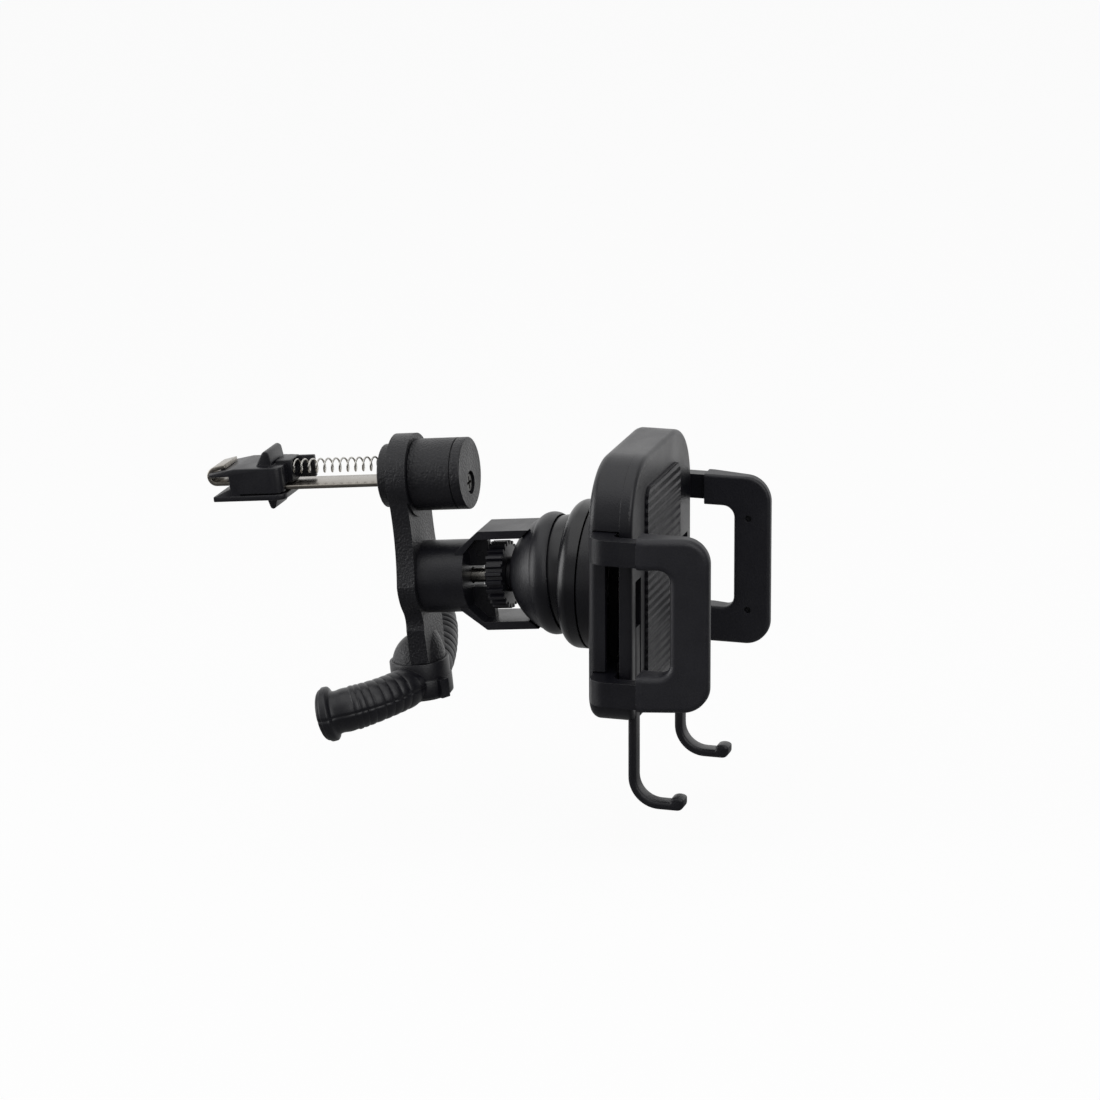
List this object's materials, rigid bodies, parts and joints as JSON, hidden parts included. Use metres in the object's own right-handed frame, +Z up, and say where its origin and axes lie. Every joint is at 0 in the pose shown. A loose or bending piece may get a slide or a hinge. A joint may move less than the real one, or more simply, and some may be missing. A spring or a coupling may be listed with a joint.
{
  "type": "air vent phone mount",
  "caption": "Phone holder for a car's air vent: sprung louvre hook, hanging arm with a rubber foot, friction dome with a clamping wheel, and a cradle with sliding side jaws.",
  "frame": {"origin": "middle of the hook's gap, where the vent's louvre lies", "axes": "+Y along the hook into the vent, +Z up, +X to the right for someone facing the vent"},
  "size_m": [0.0724, 0.1395, 0.0938],
  "materials": {
    "steel_strip": "bright rolled strip",
    "spring_wire": "bright wire",
    "screw_steel": "plated",
    "black_plastic": "satin moulded",
    "swivel_plastic": "fine texture",
    "gear_plastic": "natural",
    "soft_rubber": "matt",
    "bolt_steel": "dark plated thread"
  },
  "bodies": {
    "hook": {"hook_strip": "steel_strip", "spindle_flange": "swivel_plastic", "swivel_barrel": "swivel_plastic", "barrel_cap": "swivel_plastic", "cap_screw": "screw_steel", "clip_spring": "spring_wire"},
    "clip": {"clip_jaw": "black_plastic"},
    "arm": {"arm": "black_plastic", "yoke_screw": "screw_steel", "socket_yoke": "black_plastic", "draw_bolt": "bolt_steel"},
    "foot": {"support_foot": "soft_rubber"},
    "wheel": {"thumb_wheel": "black_plastic"},
    "pan": {"clamp_washer": "gear_plastic"},
    "dome": {"ball_base": "black_plastic", "spin_retainer": "black_plastic", "retainer_screws": "screw_steel"},
    "cradle": {"rear_shell": "black_plastic", "front_plate": "black_plastic", "back_pad": "soft_rubber", "housing_screws": "screw_steel"},
    "gear": {"pinion": "gear_plastic"},
    "left_side": {"left_jaw": "black_plastic", "left_pad": "soft_rubber"},
    "right_side": {"right_jaw": "black_plastic", "right_pad": "soft_rubber"},
    "left_rest": {"left_foot": "black_plastic"},
    "right_rest": {"right_foot": "black_plastic"}
  },
  "joints": [
    {"name": "clip_slide", "type": "slide", "parent": "hook", "child": "clip", "axis": [0, -1, 0], "range_m": [0, 0.012], "stiffness_N_per_m": 250, "springref_m": -0.006, "deforming": ["clip_spring"]},
    {"name": "arm_swivel", "type": "hinge", "parent": "hook", "child": "arm", "pos_m": [0, -0.04955, -0.0019], "axis": [0, 1, 0], "range_deg": [-90, 90]},
    {"name": "foot_turn", "type": "hinge", "parent": "arm", "child": "foot", "pos_m": [0, -0.0468, -0.0534], "axis": [0, 0, 1], "range_deg": [-15, 15]},
    {"name": "wheel_turn", "type": "hinge", "parent": "arm", "child": "wheel", "pos_m": [0, -0.072, -0.0288], "axis": [0, 1, 0], "continuous": true},
    {"name": "dome_pan", "type": "hinge", "parent": "arm", "child": "pan", "pos_m": [0, -0.0909, -0.0288], "axis": [0, 0, 1], "range_deg": [-4, 4]},
    {"name": "dome_tilt", "type": "hinge", "parent": "pan", "child": "dome", "pos_m": [0, -0.0909, -0.0288], "axis": [1, 0, 0], "range_deg": [-14, 2]},
    {"name": "cradle_spin", "type": "hinge", "parent": "dome", "child": "cradle", "pos_m": [0, -0.0909, -0.0288], "axis": [0, 0.9947, 0.1028], "continuous": true},
    {"name": "right_slide", "type": "slide", "parent": "cradle", "child": "right_side", "axis": [1, 0, 0], "range_m": [-0.003, 0.012]},
    {"name": "left_slide", "type": "slide", "parent": "cradle", "child": "left_side", "axis": [-1, 0, 0], "range_m": [-0.003, 0.012]},
    {"name": "gear_turn", "type": "hinge", "parent": "cradle", "child": "gear", "pos_m": [0, -0.10859, -0.03274], "axis": [0, 0.9947, 0.1028], "range_deg": [-140, 37]},
    {"name": "right_rest_slide", "type": "slide", "parent": "cradle", "child": "right_rest", "axis": [0, -0.1028, 0.9947], "range_m": [-0.006, 0.01]},
    {"name": "left_rest_slide", "type": "slide", "parent": "cradle", "child": "left_rest", "axis": [0, -0.1028, 0.9947], "range_m": [-0.006, 0.01]}
  ],
  "couplings": [
    {"joint": "left_slide", "follows": "right_slide", "ratio": 1},
    {"joint": "gear_turn", "follows": "right_slide", "rad_per_m": -200}
  ]
}
